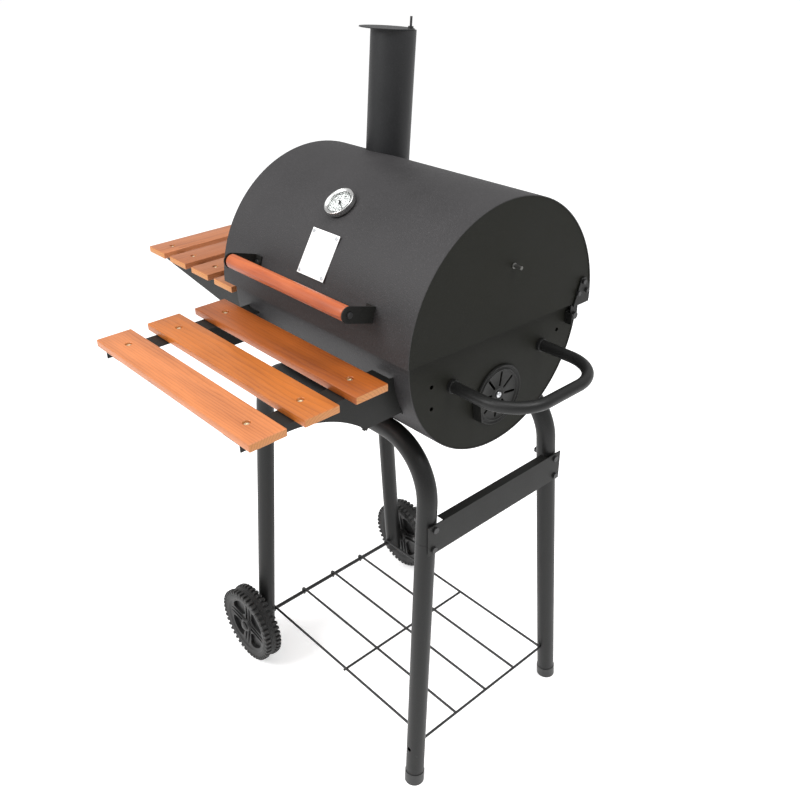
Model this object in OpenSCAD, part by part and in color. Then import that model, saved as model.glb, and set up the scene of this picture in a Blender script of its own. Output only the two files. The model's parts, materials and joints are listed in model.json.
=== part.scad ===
// Barrel charcoal grill with a chimney, two slatted shelves and a wheeled tube stand.
// X runs along the barrel towards the air damper, -Y is the cook's side and +Z is up.
// The origin is the middle of the whole footprint, on the ground.

/* [Barrel] */
// Length of the lid along X
lid_length = 464; // [420:2:520]
// Outer radius of the lid
lid_radius = 206; // [200:1:220]
// Length of the lower body along X
body_length = 437; // [390:1:446]
// Outer radius of the lower body
body_radius = 192; // [180:1:194]
// Height of the lower body's axis above the ground
body_height = 856; // [820:2:900]
// Height of the lid's axis above the body's axis
lid_rise = 12; // [10:1:16]
// Thickness of the barrel's sheet steel
sheet = 1.5; // [1:0.1:2]

/* [Lid fittings] */
// Outer diameter of the chimney pipe
chimney_d = 76; // [60:1:80]
// Chimney position along X from the middle of the barrel
chimney_x = -126; // [-150:1:-100]
// Chimney position behind the barrel's axis
chimney_y = 80; // [70:1:90]
// Height of the chimney's top edge above the ground
chimney_top = 1258; // [1200:2:1300]
// Lean of the chimney towards the back
chimney_tilt = 5; // [0:0.5:6]
// Diameter of the thermometer's bezel
thermometer_d = 51; // [44:1:60]
// Tilt of the thermometer from straight up
thermometer_tilt = 35.3; // [25:0.5:42]
// Length of the wooden handle on the lid
lid_handle_length = 292; // [260:2:330]
// Diameter of the wooden handle on the lid
lid_handle_d = 23; // [18:1:28]

/* [Stand] */
// Outer diameter of the leg tube
tube_d = 34; // [28:1:34]
// Wall of the leg tube
tube_wall = 1.2; // [1:0.1:1.5]
// Distance from the barrel's middle to the right feet
right_foot_x = 229; // [220:1:235]
// Distance from the barrel's middle to the wheeled legs at the ground
left_foot_x = 251; // [245:1:260]
// Distance of each foot from the barrel's axis
foot_y = 193; // [188:1:196]
// Sideways splay of the legs
splay = 4.3; // [3.5:0.1:4.6]
// Lean of the legs along X
lean = 1.6; // [1.5:0.1:2.2]
// Centre-line radius of the frame's bends
bend_radius = 100; // [90:1:110]
// Height of the joint between upper frame and lower legs
seam_height = 536; // [520:1:545]

/* [Wheels] */
// Wheel diameter
wheel_d = 166; // [150:2:180]
// Wheel width
wheel_w = 38; // [30:1:40]
// Axle diameter
axle_d = 8; // [8:1:12]

/* [Shelves] */
// Top of the front shelf above the ground
front_shelf_height = 851; // [845:1:855]
// Length of the front slats
front_slat_length = 420; // [380:2:430]
// Distance from one front slat to the next
front_slat_pitch = 87.5; // [78:0.5:90]
// Top of the side shelf above the ground
side_shelf_height = 838; // [830:1:842]
// Length of the side slats
side_slat_length = 340; // [300:2:360]
// Distance from one side slat to the next
side_slat_pitch = 80; // [74:1:84]
// Width of every slat
slat_w = 59; // [54:1:64]
// Thickness of every slat
slat_t = 12; // [10:1:14]

/* [Hidden] */
$fn = 48;

steel_color = "#302f2d";
wood_color = "#c8703a";
zinc_color = "#b9bbbd";
brass_color = "#c9a55a";

// Fits and small stock
clear = 0.4;         // plain clearance around bolts and between separate bodies
running = 0.05;      // radial gap of a running fit
bolt_d = 6;
head_d = 13;
head_h = 3.5;
nut_d = 12;
nut_h = 5;
strap_t = 2;         // thickness of hinge leaves and handle brackets
inset = 1;           // end plates sit this far inside the barrel's ends
lip = 6;             // depth of the rims that the closed lid rests on

// Barrel
lid_height = body_height + lid_rise;
body_rim = body_height + 16;
lid_rim_tilt = 1.6;  // the lid's lower edge drops towards the back
lid_end_x = lid_length / 2;
body_end_x = body_length / 2;
lid_plate_x = lid_end_x - inset;
body_plate_x = body_end_x - inset;
hinge_y = 177;
hinge_z = body_height - 19;
hinge_tongue_x = body_end_x + 5;
mount_hole_y = 145;
mount_hole_z = [818, 781];
mount_hole_r = 3.5;

// Damper
damper_y = 3;
damper_z = 750;
damper_r = 52;
slot_in = 14;
slot_out = 40;
slot_w = 4.5;
slots = 8;
slot_turn = -9;

// Lid handle and the parts that lie on the lid's curve
grip_tilt = 72.8;
grip_lift = 48;
grip_x = 4;
grip_y = -(lid_radius + grip_lift) * sin(grip_tilt);
grip_z = lid_height + (lid_radius + grip_lift) * cos(grip_tilt);
grip_bracket_x = lid_handle_length / 2 + 0.3;
grip_bracket_w = 25;
grip_flange_w = 18;
thermometer_x = -8;
label_x = 2;
label_w = 64;
label_h = 73;
label_t = 0.8;
label_tilt = 58.9;
rivet_d = 6;

// Stand
tube_r = tube_d / 2;
frame_y = function (z) foot_y - z * tan(splay);
frame_top = 701;
frame_top_y = frame_y(frame_top);
frame_rise = frame_top / cos(splay);
axle_z = wheel_d / 2;
wheel_y = 207;
left_leg_x = -left_foot_x + axle_z * tan(lean);
cap_r = tube_r + 1;
cap_h = 24;
frame_bolt_x = [-110, 70];
frame_bolt_angle = atan2(frame_top_y, body_height - frame_top);

// Brace
brace_z = [520, 577];
brace_t = 2;
brace_x = right_foot_x - brace_z[0] * tan(lean) + tube_r / cos(lean) + clear;
brace_bolt_z = [567, 529];
brace_half = 165;

// Shelves
bracket_x = 185;
front_first_y = -223;
front_slat_y = [for (k = [0:2]) front_first_y - slat_w / 2 - k * front_slat_pitch];
front_bolt_x = 161;
side_inner_x = -273.5;
side_slat_x = [for (k = [0:3]) side_inner_x - slat_w / 2 - k * side_slat_pitch];
side_bracket_y = 145;
side_bolt_y = side_bracket_y - 11;
side_foot_y = side_bracket_y - 12;
side_foot_z = [-12, -52];
front_under = front_shelf_height - slat_t;
side_under = side_shelf_height - slat_t;

// Inside the barrel
ledge_z = 840;
ledge_w = 20;
rod_d = 5;
grate_z = ledge_z + sheet + rod_d / 2;
grate_half = 182;
grate_end_x = 208;
charcoal_z = 742;
rack_y = 10;
rack_z = 970;
rack_x = 221;
wire_d = 5;
shelf_z = axle_z + axle_d / 2 + wire_d / 2 + 0.1;
shelf_cross_z = shelf_z - wire_d * 0.9;
shelf_x = [-4, 226];
shelf_half = 166;

// The origin moves from under the barrel's middle to the middle of the footprint
handle_out_x = 348;
handle_d = 19;
x_min = side_slat_x[3] - slat_w / 2;
x_max = handle_out_x + handle_d / 2;
cap_over = 4.5;
cap_out_y = wheel_y + wheel_w + cap_over;
y_min = front_slat_y[2] - slat_w / 2;
y_max = cap_out_y;
module placed() { translate([-(x_min + x_max) / 2, -(y_min + y_max) / 2, 0]) children(); }

// ---- building blocks ----

// A rod along X, Y or Z between two stations
module rod_x(d, x0, x1, y = 0, z = 0) {
    translate([x0, y, z]) rotate([0, 90, 0]) cylinder(d = d, h = x1 - x0);
}
module rod_y(d, y0, y1, x = 0, z = 0) {
    translate([x, y0, z]) rotate([-90, 0, 0]) cylinder(d = d, h = y1 - y0);
}

// A flat outline in the YZ plane, thickened along +X
module in_yz(x, t) { translate([x, 0, 0]) rotate([90, 0, 90]) linear_extrude(t) children(); }

// A flat outline in the XZ plane, thickened along +Y
module in_xz(y, t) { translate([0, y + t, 0]) rotate([90, 0, 0]) linear_extrude(t) children(); }

// A trough or hood: the wall of a barrel along X
module barrel_wall(r, length, z) {
    difference() {
        rod_x(2 * r, -length / 2, length / 2, 0, z, $fn = 120);
        rod_x(2 * (r - sheet), -length / 2 - 1, length / 2 + 1, 0, z, $fn = 120);
    }
}

// Everything above a level, and everything below the lid's lower edge
module above(z) { translate([-400, -400, z]) cube([800, 800, 600]); }
module below_lid_rim() {
    translate([0, -lid_radius, body_rim + clear]) rotate([-lid_rim_tilt, 0, 0])
        translate([-400, -100, -600]) cube([800, 700, 600]);
}

// A bolt along local -Z: its head stands on z = 0 and its nut, if any, ends the grip
module bolt(grip, nut = true, d = bolt_d, head = head_d) {
    cylinder(d = head, h = head_h);
    translate([0, 0, -grip - (nut ? nut_h + 2 : 0)]) cylinder(d = d, h = grip + (nut ? nut_h + 2 : 0));
    if (nut) translate([0, 0, -grip - nut_h]) cylinder(d = nut_d, h = nut_h, $fn = 6);
}
module bolt_hole(length, d = bolt_d) { cylinder(d = d + clear, h = length, center = true); }

// Local +Z points out of the lid at a station along X and a tilt towards the front
module on_lid(x, tilt, lift = 0) {
    translate([x, 0, lid_height]) rotate([tilt, 0, 0]) translate([0, 0, lid_radius + lift]) children();
}

// Local +Z points out of the body's underside
module under_body(x, side, lift = 0) {
    translate([x, 0, body_height]) rotate([-side * (180 - frame_bolt_angle), 0, 0])
        translate([0, 0, body_radius + lift]) children();
}

// A plane that leans with the legs: local X is the barrel's X and local Z climbs the leg
module leg_plane(side) { translate([0, side * foot_y, 0]) rotate([side * splay, 0, 0]) children(); }

// Local Z climbs one leg from the ground; end is +1 at the right feet and -1 at the wheels
function foot_x(end) = end > 0 ? right_foot_x : -left_foot_x;
module leg_line(end, side) {
    leg_plane(side) translate([foot_x(end), 0, 0]) rotate([0, -end * lean, 0]) children();
}
climb = function (z) z / cos(splay) / cos(lean);

// ---- barrel ----

module body_shell() {
    color(steel_color) placed() difference() {
        union() {
            difference() {
                barrel_wall(body_radius, body_length, body_height);
                above(body_rim);
            }
            translate([-body_plate_x + sheet, -body_radius - lip, body_rim - sheet])
                cube([2 * (body_plate_x - sheet), lip + 1.5, sheet]);
        }
        for (side = [-1, 1], x = frame_bolt_x) under_body(x, side) bolt_hole(20);
        for (x = [-1, 1]) shelf_foot(x) bolt_hole(20);
    }
}

module body_plate() {
    difference() {
        union() {
            rod_x(2 * (body_radius - sheet) - 0.1, body_plate_x - sheet, body_plate_x, 0, body_height, $fn = 120);
            translate([body_plate_x - ledge_w, -170, ledge_z]) cube([ledge_w, 340, sheet]);
        }
        above(body_rim);
        hinge_holes();
    }
}
module hinge_holes() {
    rod_x(bolt_d + clear, body_plate_x - 10, body_plate_x + 10, hinge_y, hinge_z);
}
module body_end_left() {
    color(steel_color) placed() mirror([1, 0, 0]) difference() {
        body_plate();
        for (s = [-1, 1], z = side_foot_z)
            rod_x(bolt_d + clear, body_plate_x - 5, body_plate_x + 5, s * side_foot_y, side_under + z);
    }
}
module body_end_right() {
    color(steel_color) placed() difference() {
        body_plate();
        damper_openings(body_plate_x);
        rod_x(bolt_d + clear, body_plate_x - 5, body_plate_x + 5, damper_y, damper_z);
        for (s = [-1, 1], z = mount_hole_z)
            rod_x(2 * mount_hole_r, body_plate_x - 5, body_plate_x + 5, s * mount_hole_y, z);
        for (s = [-1, 1])
            rod_x(bolt_d + clear, body_plate_x - 5, body_plate_x + 5, s * carry_y, carry_z);
    }
}
module damper_openings(x) {
    for (k = [0:slots - 1])
        translate([x, damper_y, damper_z]) rotate([k * 360 / slots + slot_turn, 0, 0])
            translate([-6, -slot_w / 2, slot_in]) cube([12, slot_w, slot_out - slot_in]);
}

module lid_shell() {
    color(steel_color) placed() difference() {
        union() {
            difference() {
                barrel_wall(lid_radius, lid_length, lid_height);
                below_lid_rim();
            }
            translate([-lid_plate_x + sheet, -lid_radius + 1, body_rim + clear])
                cube([2 * (lid_plate_x - sheet), 9, sheet]);
        }
        at_chimney(-100) cylinder(d = chimney_d + 0.2, h = 300);
        on_lid(thermometer_x, thermometer_tilt) cylinder(d = stem_d + 0.2, h = 40, center = true);
        for (s = [-1, 1]) on_lid(grip_x + s * grip_bolt_x, grip_tilt) bolt_hole(20);
        at_label_corners() cylinder(d = 3.2, h = 30, center = true);
    }
}
module lid_plate() {
    difference() {
        rod_x(2 * (lid_radius - sheet) - 0.1, lid_plate_x - sheet, lid_plate_x, 0, lid_height, $fn = 120);
        below_lid_rim();
        rod_x(bolt_d + 0.1, lid_plate_x - 5, lid_plate_x + 5, rack_y, rack_z);
        for (p = leaf_bolts) rod_x(4 + clear, lid_plate_x - 5, lid_plate_x + 5, p[0], p[1]);
    }
}
module lid_end_left() { color(steel_color) placed() mirror([1, 0, 0]) lid_plate(); }
module lid_end_right() { color(steel_color) placed() lid_plate(); }

// ---- chimney ----

chimney_foot = 1045; // its axis passes through chimney_x and chimney_y at this height
pipe_low = -17;
pipe_high = (chimney_top - chimney_foot) / cos(chimney_tilt);
flap_r = 46;
flap_t = 1.5;
flap_angle = 47.8;
flap_pivot_r = 28;
flap_reach = 39;
// Local +Z runs up the chimney's axis
module at_chimney(z) {
    translate([chimney_x, chimney_y, chimney_foot]) rotate([-chimney_tilt, 0, 0])
        translate([0, 0, z]) children();
}
module at_flap_pivot(lift) {
    at_chimney(pipe_high + lift) rotate(flap_angle) translate([flap_pivot_r, 0, 0]) children();
}
module chimney_pipe() {
    color(steel_color) placed() union() {
        at_chimney(pipe_low) difference() {
            cylinder(d = chimney_d, h = pipe_high - pipe_low, $fn = 96);
            translate([0, 0, -1]) cylinder(d = chimney_d - 2 * sheet, h = 400, $fn = 96);
        }
        difference() {
            intersection() {
                at_chimney(pipe_high - sheet) cylinder(d = chimney_d - 1, h = sheet, $fn = 96);
                at_flap_pivot(-10) translate([-7, -9, 0]) cube([30, 18, 20]);
            }
            at_flap_pivot(0) cylinder(d = 4 + 0.1, h = 10, center = true);
        }
    }
}
module chimney_flap() {
    color(steel_color) placed() at_flap_pivot(clear) difference() {
        translate([-flap_reach, 0, 0]) cylinder(r = flap_r, h = flap_t, $fn = 96);
        cylinder(d = 4 + 2 * running, h = 10, center = true);
    }
}
module flap_pivot() {
    color(zinc_color) placed() at_flap_pivot(0) union() {
        translate([0, 0, 2 * clear + flap_t]) cylinder(d = 9, h = 3);
        translate([0, 0, -sheet - 6]) cylinder(d = 4, h = 6 + sheet + 2 * clear + flap_t + 3 + 15);
        translate([0, 0, -sheet - 3.2]) cylinder(d = 8, h = 3.2, $fn = 6);
    }
}

// ---- thermometer ----

stem_d = 8;
dial_lift = 4;
bezel_h = 9;
module at_thermometer(lift = 0) { on_lid(thermometer_x, thermometer_tilt, lift) children(); }
module thermometer_case() {
    color(zinc_color) placed() at_thermometer() union() {
        difference() {
            translate([0, 0, 2]) cylinder(d = thermometer_d, h = bezel_h, $fn = 96);
            translate([0, 0, dial_lift]) cylinder(d = thermometer_d - 11, h = 20, $fn = 96);
        }
        translate([0, 0, 0.2]) cylinder(d = 16, h = 1.8);
        translate([0, 0, -60]) cylinder(d = stem_d - 2, h = 62);
        translate([0, 0, -sheet - 0.2]) cylinder(d = stem_d, h = 3);
        translate([0, 0, -sheet - 5]) cylinder(d = 16, h = 4.6, $fn = 6);
    }
}
module thermometer_dial() {
    color("white") placed() at_thermometer(dial_lift) difference() {
        cylinder(d = thermometer_d - 11.4, h = 0.8, $fn = 96);
        cylinder(d = 2.2, h = 4, center = true);
    }
}
module thermometer_needle() {
    color("#151515") placed() at_thermometer(dial_lift + 1.2) union() {
        cylinder(d = 5, h = 1.2);
        translate([0, 0, -0.8]) cylinder(d = 2, h = 1);
        rotate(needle_angle) translate([-6, -0.8, 0.2]) cube([21, 1.6, 0.6]);
    }
}
needle_angle = -31.5;
module thermometer_lens() {
    color([0.8, 0.9, 0.95, 0.4]) placed() at_thermometer(bezel_h - 1)
        cylinder(d = thermometer_d - 11.4, h = 1.5, $fn = 96);
}

// ---- blank plate on the lid ----

// The plate is flat and touches the lid along its middle
module at_label() { on_lid(label_x, label_tilt, 0.05) children(); }
module at_label_corners() {
    for (s = [-1, 1], t = [-1, 1]) at_label()
        translate([s * (label_w / 2 - 5), t * (label_h / 2 - 5), 0]) children();
}
module label_plate() {
    color("#f4f4f2") placed() difference() {
        at_label() translate([-label_w / 2, -label_h / 2, 0]) cube([label_w, label_h, label_t]);
        at_label_corners() cylinder(d = 3.2, h = 20, center = true);
    }
}
module label_rivets() {
    color(zinc_color) placed() at_label_corners() union() {
        translate([0, 0, label_t + 0.1]) cylinder(d = rivet_d, h = 1.2);
        translate([0, 0, -9]) cylinder(d = 3, h = 9.5 + label_t);
    }
}

// ---- lid handle ----

grip_bolt_x = grip_bracket_x - 9;
module lid_handle_dowel() {
    color(wood_color) placed() translate([grip_x, 0, 0]) difference() {
        rod_x(lid_handle_d, -lid_handle_length / 2, lid_handle_length / 2, grip_y, grip_z);
        for (s = [-1, 1])
            translate([s * lid_handle_length / 2, grip_y, grip_z]) rotate([0, 90, 0])
                cylinder(d = 4.1, h = 60, center = true);
    }
}
module lid_handle_bracket() {
    difference() {
        union() {
            difference() {
                in_yz(grip_bracket_x, strap_t) translate([0, lid_height]) rotate(90 + grip_tilt)
                    translate([lid_radius + grip_lift, 0]) union() {
                        circle(d = grip_bracket_w);
                        translate([-60, -grip_bracket_w / 2]) square([60, grip_bracket_w]);
                    }
                rod_x(2 * lid_radius + 0.2, 0, 400, 0, lid_height, $fn = 120);
            }
            on_lid(grip_bracket_x + strap_t - grip_flange_w, grip_tilt, 0.1)
                translate([0, -grip_bracket_w / 2, 0]) cube([grip_flange_w, grip_bracket_w, strap_t]);
        }
        translate([grip_bracket_x, grip_y, grip_z]) rotate([0, 90, 0])
            cylinder(d = 4 + clear, h = 20, center = true);
        on_lid(grip_bolt_x, grip_tilt) bolt_hole(20);
    }
}
module lid_handle_brackets() {
    color(steel_color) placed() translate([grip_x, 0, 0]) {
        lid_handle_bracket();
        mirror([1, 0, 0]) lid_handle_bracket();
    }
}
module lid_handle_screws() {
    color(zinc_color) placed() translate([grip_x, 0, 0]) for (s = [0, 1]) mirror([s, 0, 0]) {
        translate([grip_bracket_x + strap_t, grip_y, grip_z]) rotate([0, 90, 0])
            bolt(26, nut = false, d = 4, head = 9);
        on_lid(grip_bolt_x, grip_tilt, 0.1 + strap_t) bolt(strap_t + sheet + 0.4, head = 11);
    }
}

// ---- hinges ----

leaf_bolts = [[184, 897], [194, 880], [172, 880]];
leaf_x = lid_end_x + 0.2;
tongue_w = 18;
web_z = body_rim - 14;
module hinge_lid_leaf() {
    difference() {
        union() {
            in_yz(leaf_x, strap_t)
                polygon([[163, web_z], [202, web_z], [202, 884], [190, 904], [179, 904]]);
            translate([hinge_tongue_x, hinge_y - 12, web_z])
                cube([leaf_x + strap_t - hinge_tongue_x, tongue_w + 6, strap_t]);
            in_yz(hinge_tongue_x, strap_t) union() {
                translate([hinge_y - 9, hinge_z]) square([tongue_w, web_z + strap_t - hinge_z]);
                translate([hinge_y, hinge_z]) circle(r = 9);
            }
        }
        rod_x(bolt_d + 2 * running, hinge_tongue_x - 5, hinge_tongue_x + 5, hinge_y, hinge_z);
        for (p = leaf_bolts) rod_x(4 + clear, leaf_x - 5, leaf_x + 5, p[0], p[1]);
    }
}
module hinge_lid_leaves() {
    color(steel_color) placed() for (s = [0, 1]) mirror([s, 0, 0]) hinge_lid_leaf();
}
module hinge_body_leaf() {
    difference() {
        union() {
            in_yz(body_end_x + 0.1, strap_t) translate([hinge_y - 14, hinge_z - 12]) square([26, 22]);
            translate([body_end_x + 0.1, hinge_y - 14, hinge_z - 12]) cube([14, strap_t, 20]);
        }
        rod_x(bolt_d + 2 * running, body_end_x - 5, body_end_x + 5, hinge_y, hinge_z);
    }
}
module hinge_body_leaves() {
    color(steel_color) placed() for (s = [0, 1]) mirror([s, 0, 0]) hinge_body_leaf();
}
module hinge_pins() {
    color(zinc_color) placed() for (s = [0, 1]) mirror([s, 0, 0])
        translate([hinge_tongue_x + strap_t + clear, hinge_y, hinge_z]) rotate([0, 90, 0])
            bolt(hinge_tongue_x + strap_t + clear - body_plate_x + sheet, head = 12);
}
module hinge_bolts() {
    color(zinc_color) placed() for (s = [0, 1], p = leaf_bolts) mirror([s, 0, 0])
        translate([leaf_x + strap_t, p[0], p[1]]) rotate([0, 90, 0])
            bolt(leaf_x + strap_t - lid_plate_x + sheet, d = 4, head = 8);
}

// ---- carry handle and air damper on the right end ----

carry_y = 103;
carry_z = 805;
carry_bend = 68;
module carry_handle() {
    bend_x = handle_out_x - carry_bend;
    bend_y = carry_y - carry_bend;
    color(steel_color) placed() translate([0, 0, carry_z]) difference() {
        union() {
            for (s = [-1, 1]) {
                rod_x(handle_d, body_plate_x + 0.1, bend_x, s * carry_y);
                rod_x(handle_d + 3, body_plate_x + 0.1, body_plate_x + 6, s * carry_y);
            }
            rod_y(handle_d, -bend_y, bend_y, handle_out_x);
            for (s = [0, 1]) mirror([0, s, 0]) translate([bend_x, bend_y, 0])
                rotate_extrude(angle = 90, $fn = 72) translate([carry_bend, 0]) circle(d = handle_d);
        }
        for (s = [-1, 1]) rod_x(bolt_d + 0.1, body_end_x - 5, body_end_x + 25, s * carry_y);
    }
}
module carry_handle_bolts() {
    color(zinc_color) placed() for (s = [-1, 1])
        translate([body_plate_x - sheet, s * carry_y, carry_z]) rotate([0, -90, 0])
            bolt(sheet + inset + 20, nut = false);
}
damper_x = body_plate_x + clear;
tab_w = 34;          // the tab that turns the damper
module air_damper() {
    color(steel_color) placed() difference() {
        union() {
            rod_x(2 * damper_r, damper_x, damper_x + 1.5, damper_y, damper_z, $fn = 96);
            difference() {
                rod_x(2 * damper_r, damper_x, damper_x + 4, damper_y, damper_z, $fn = 96);
                rod_x(2 * damper_r - 5, damper_x, damper_x + 5, damper_y, damper_z, $fn = 96);
            }
            difference() {
                rod_x(2 * 43 + 5, damper_x, damper_x + 3.5, damper_y, damper_z, $fn = 96);
                rod_x(2 * 43, damper_x, damper_x + 5, damper_y, damper_z, $fn = 96);
            }
            translate([damper_x, damper_y, damper_z]) rotate([98, 0, 0]) {
                translate([0, -11, damper_r - 6]) cube([1.5, 22, 12]);
                translate([0, -tab_w / 2, damper_r + 4]) cube([18, tab_w, 2]);
            }
        }
        damper_openings(damper_x);
        rod_x(bolt_d + 2 * running, damper_x - 5, damper_x + 5, damper_y, damper_z);
    }
}
module air_damper_screw() {
    color(zinc_color) placed() translate([damper_x + 1.5 + clear, damper_y, damper_z]) rotate([0, 90, 0])
        bolt(1.5 + 2 * clear + sheet, head = 11);
}

// ---- front shelf ----

shelf_foot_z = 782;
shelf_foot_angle = asin((body_height - shelf_foot_z) / body_radius);
foot_w = 20;
module shelf_foot(end) {
    translate([end * (bracket_x - foot_w / 2), 0, body_height]) rotate([90 + shelf_foot_angle, 0, 0])
        translate([0, 0, body_radius]) children();
}
module front_shelf_bracket() {
    arc_r = 208;
    tip_y = -455;
    arc_y = -385;
    drop = 12;
    low_z = 774;
    corner_y = -245;
    flange_w = 40;
    flange_y = -197;
    difference() {
        union() {
            difference() {
                in_yz(bracket_x - strap_t, strap_t) difference() {
                    polygon([
                        [tip_y, front_under - 0.2], [tip_y, front_under - drop], [arc_y, front_under - drop],
                        [corner_y, low_z], [-100, low_z], [-100, front_under - 0.2],
                    ]);
                    translate([arc_y, front_under - drop - arc_r]) circle(r = arc_r, $fn = 180);
                }
                rod_x(2 * body_radius + 0.2, 0, 400, 0, body_height, $fn = 120);
            }
            translate([bracket_x - flange_w, tip_y, front_under - strap_t - 0.2])
                cube([flange_w, flange_y - tip_y, strap_t]);
            shelf_foot(1) translate([-foot_w / 2, -12, 0.3]) cube([foot_w, 24, strap_t]);
        }
        shelf_foot(1) bolt_hole(20);
        for (y = front_slat_y) translate([front_bolt_x, y, front_under]) bolt_hole(20, slat_bolt_d);
    }
}
module front_shelf_bracket_left() { color(steel_color) placed() mirror([1, 0, 0]) front_shelf_bracket(); }
module front_shelf_bracket_right() { color(steel_color) placed() front_shelf_bracket(); }
slat_bolt_d = 5;
recess_d = 11;
recess_depth = 4;
module front_slat(k) {
    color(wood_color) placed() difference() {
        translate([-front_slat_length / 2, front_slat_y[k] - slat_w / 2, front_under])
            cube([front_slat_length, slat_w, slat_t]);
        for (s = [-1, 1]) translate([s * front_bolt_x, front_slat_y[k], front_under]) slat_hole();
    }
}
module slat_hole() {
    cylinder(d = slat_bolt_d + clear, h = 40, center = true);
    translate([0, 0, slat_t - recess_depth]) cylinder(d = recess_d, h = 20);
}
module slat_bolt() {
    translate([0, 0, slat_t - recess_depth]) cylinder(d = 9.6, h = 2.4);
    translate([0, 0, -strap_t - 6]) cylinder(d = slat_bolt_d, h = slat_t - recess_depth + strap_t + 6);
    translate([0, 0, -strap_t - 4.4]) cylinder(d = 9, h = 4, $fn = 6);
}
module front_slat_inner() { front_slat(0); }
module front_slat_middle() { front_slat(1); }
module front_slat_outer() { front_slat(2); }
module front_slat_bolts() {
    color(brass_color) placed() for (s = [-1, 1], y = front_slat_y)
        translate([s * front_bolt_x, y, front_under]) slat_bolt();
}

// ---- side shelf on the left end ----

module side_shelf_bracket() {
    root_x = -body_end_x - 0.2;
    tip_x = side_slat_x[3] - 20;
    difference() {
        union() {
            in_xz(side_bracket_y - strap_t, strap_t) polygon([
                [tip_x, side_under - 0.2], [tip_x, side_under - 14], [tip_x + 30, side_under - 20],
                [root_x, side_under - 72], [root_x, side_under - 0.2],
            ]);
            translate([tip_x, side_bracket_y - 20, side_under - strap_t - 0.2])
                cube([root_x - tip_x, 20, strap_t]);
            translate([root_x - strap_t, side_bracket_y - 24, side_under - 72]) cube([strap_t, 24, 71.8]);
        }
        for (x = side_slat_x) translate([x, side_bolt_y, side_under]) bolt_hole(20, slat_bolt_d);
        for (z = side_foot_z) rod_x(bolt_d + clear, root_x - 5, root_x + 5, side_foot_y, side_under + z);
    }
}
module side_shelf_bracket_rear() { color(steel_color) placed() side_shelf_bracket(); }
module side_shelf_bracket_front() { color(steel_color) placed() mirror([0, 1, 0]) side_shelf_bracket(); }
module side_slat(k) {
    color(wood_color) placed() difference() {
        translate([side_slat_x[k] - slat_w / 2, -side_slat_length / 2, side_under])
            cube([slat_w, side_slat_length, slat_t]);
        for (s = [-1, 1]) translate([side_slat_x[k], s * side_bolt_y, side_under]) slat_hole();
    }
}
module side_slat_1() { side_slat(0); }
module side_slat_2() { side_slat(1); }
module side_slat_3() { side_slat(2); }
module side_slat_4() { side_slat(3); }
module side_slat_bolts() {
    color(brass_color) placed() for (s = [-1, 1], x = side_slat_x)
        translate([x, s * side_bolt_y, side_under]) slat_bolt();
}

// ---- stand ----

// A length of leg tube, a hair shorter than its stretch at both ends
hair = 0.05;
module tube(length) {
    translate([0, 0, hair]) difference() {
        cylinder(r = tube_r, h = length - 2 * hair);
        translate([0, 0, -1]) cylinder(r = tube_r - tube_wall, h = length + 2);
    }
}
// A bend of it from local +X towards +Y, with a ring inside the wall that joins each end to its straight
module tube_bend(angle) {
    rotate_extrude(angle = angle, $fn = 96) translate([bend_radius, 0]) difference() {
        circle(r = tube_r);
        circle(r = tube_r - tube_wall);
    }
    for (a = [0, angle]) rotate(a) translate([bend_radius, 0, 0]) rotate([90, 0, 0]) difference() {
        cylinder(r = tube_r - tube_wall / 4, h = 6, center = true);
        cylinder(r = tube_r - tube_wall * 3 / 4, h = 7, center = true);
    }
}

// The bent tube in its leaning plane, from seam to seam
bend_z = frame_rise - bend_radius;
straight_end = bend_z + bend_radius * sin(lean);
function bend_x(end) =
    end * (abs(foot_x(end)) - tan(lean) * straight_end - bend_radius * cos(lean));
module frame_path() {
    start = climb(seam_height);
    for (end = [-1, 1]) {
        translate([foot_x(end), 0, 0]) rotate([0, -end * lean, 0])
            translate([0, 0, start]) tube(straight_end / cos(lean) - start);
        translate([bend_x(end), 0, bend_z]) rotate([90, 0, 0])
            rotate([0, 0, end > 0 ? lean : 90]) tube_bend(90 - lean);
    }
    translate([bend_x(-1), 0, frame_rise]) rotate([0, 90, 0]) tube(bend_x(1) - bend_x(-1));
}
module upper_frame(side) {
    color(steel_color) placed() difference() {
        leg_plane(side) frame_path();
        for (x = frame_bolt_x) under_body(x, side) bolt_hole(100);
        for (z = brace_bolt_z) if (z > seam_height) brace_bolt(z, side) bolt_hole(100);
    }
}
module upper_frame_front() { upper_frame(-1); }
module upper_frame_rear() { upper_frame(1); }

spigot = 45;
spigot_r = tube_r - tube_wall - 0.2;
wire_tool_d = 9;     // the hole in the outer wall through which the cross wire is fed
module lower_leg(end, side) {
    start = end > 0 ? 3 : 62;
    color(steel_color) placed() difference() {
        leg_line(end, side) difference() {
            union() {
                translate([0, 0, climb(start)])
                    cylinder(r = tube_r, h = climb(seam_height - start) - clear);
                translate([0, 0, climb(seam_height - 10)]) cylinder(r = spigot_r, h = climb(spigot + 10));
            }
            cylinder(r = tube_r - tube_wall, h = climb(seam_height - 10));
            cylinder(r = spigot_r - tube_wall, h = 700);
        }
        if (end < 0) rod_y(axle_d + 2 * running, -300, 300, left_leg_x, axle_z);
        if (end > 0) {
            rod_y(wire_d + clear, -frame_y(shelf_cross_z), frame_y(shelf_cross_z), shelf_x[1], shelf_cross_z);
            translate([shelf_x[1], side * frame_y(shelf_cross_z), shelf_cross_z]) rotate([-side * 90, 0, 0])
                cylinder(d = wire_tool_d, h = 60);
            for (z = brace_bolt_z) brace_bolt(z, side) bolt_hole(200);
        }
    }
}
module lower_leg_front_right() { lower_leg(1, -1); }
module lower_leg_rear_right() { lower_leg(1, 1); }
module lower_leg_front_left() { lower_leg(-1, -1); }
module lower_leg_rear_left() { lower_leg(-1, 1); }

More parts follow.
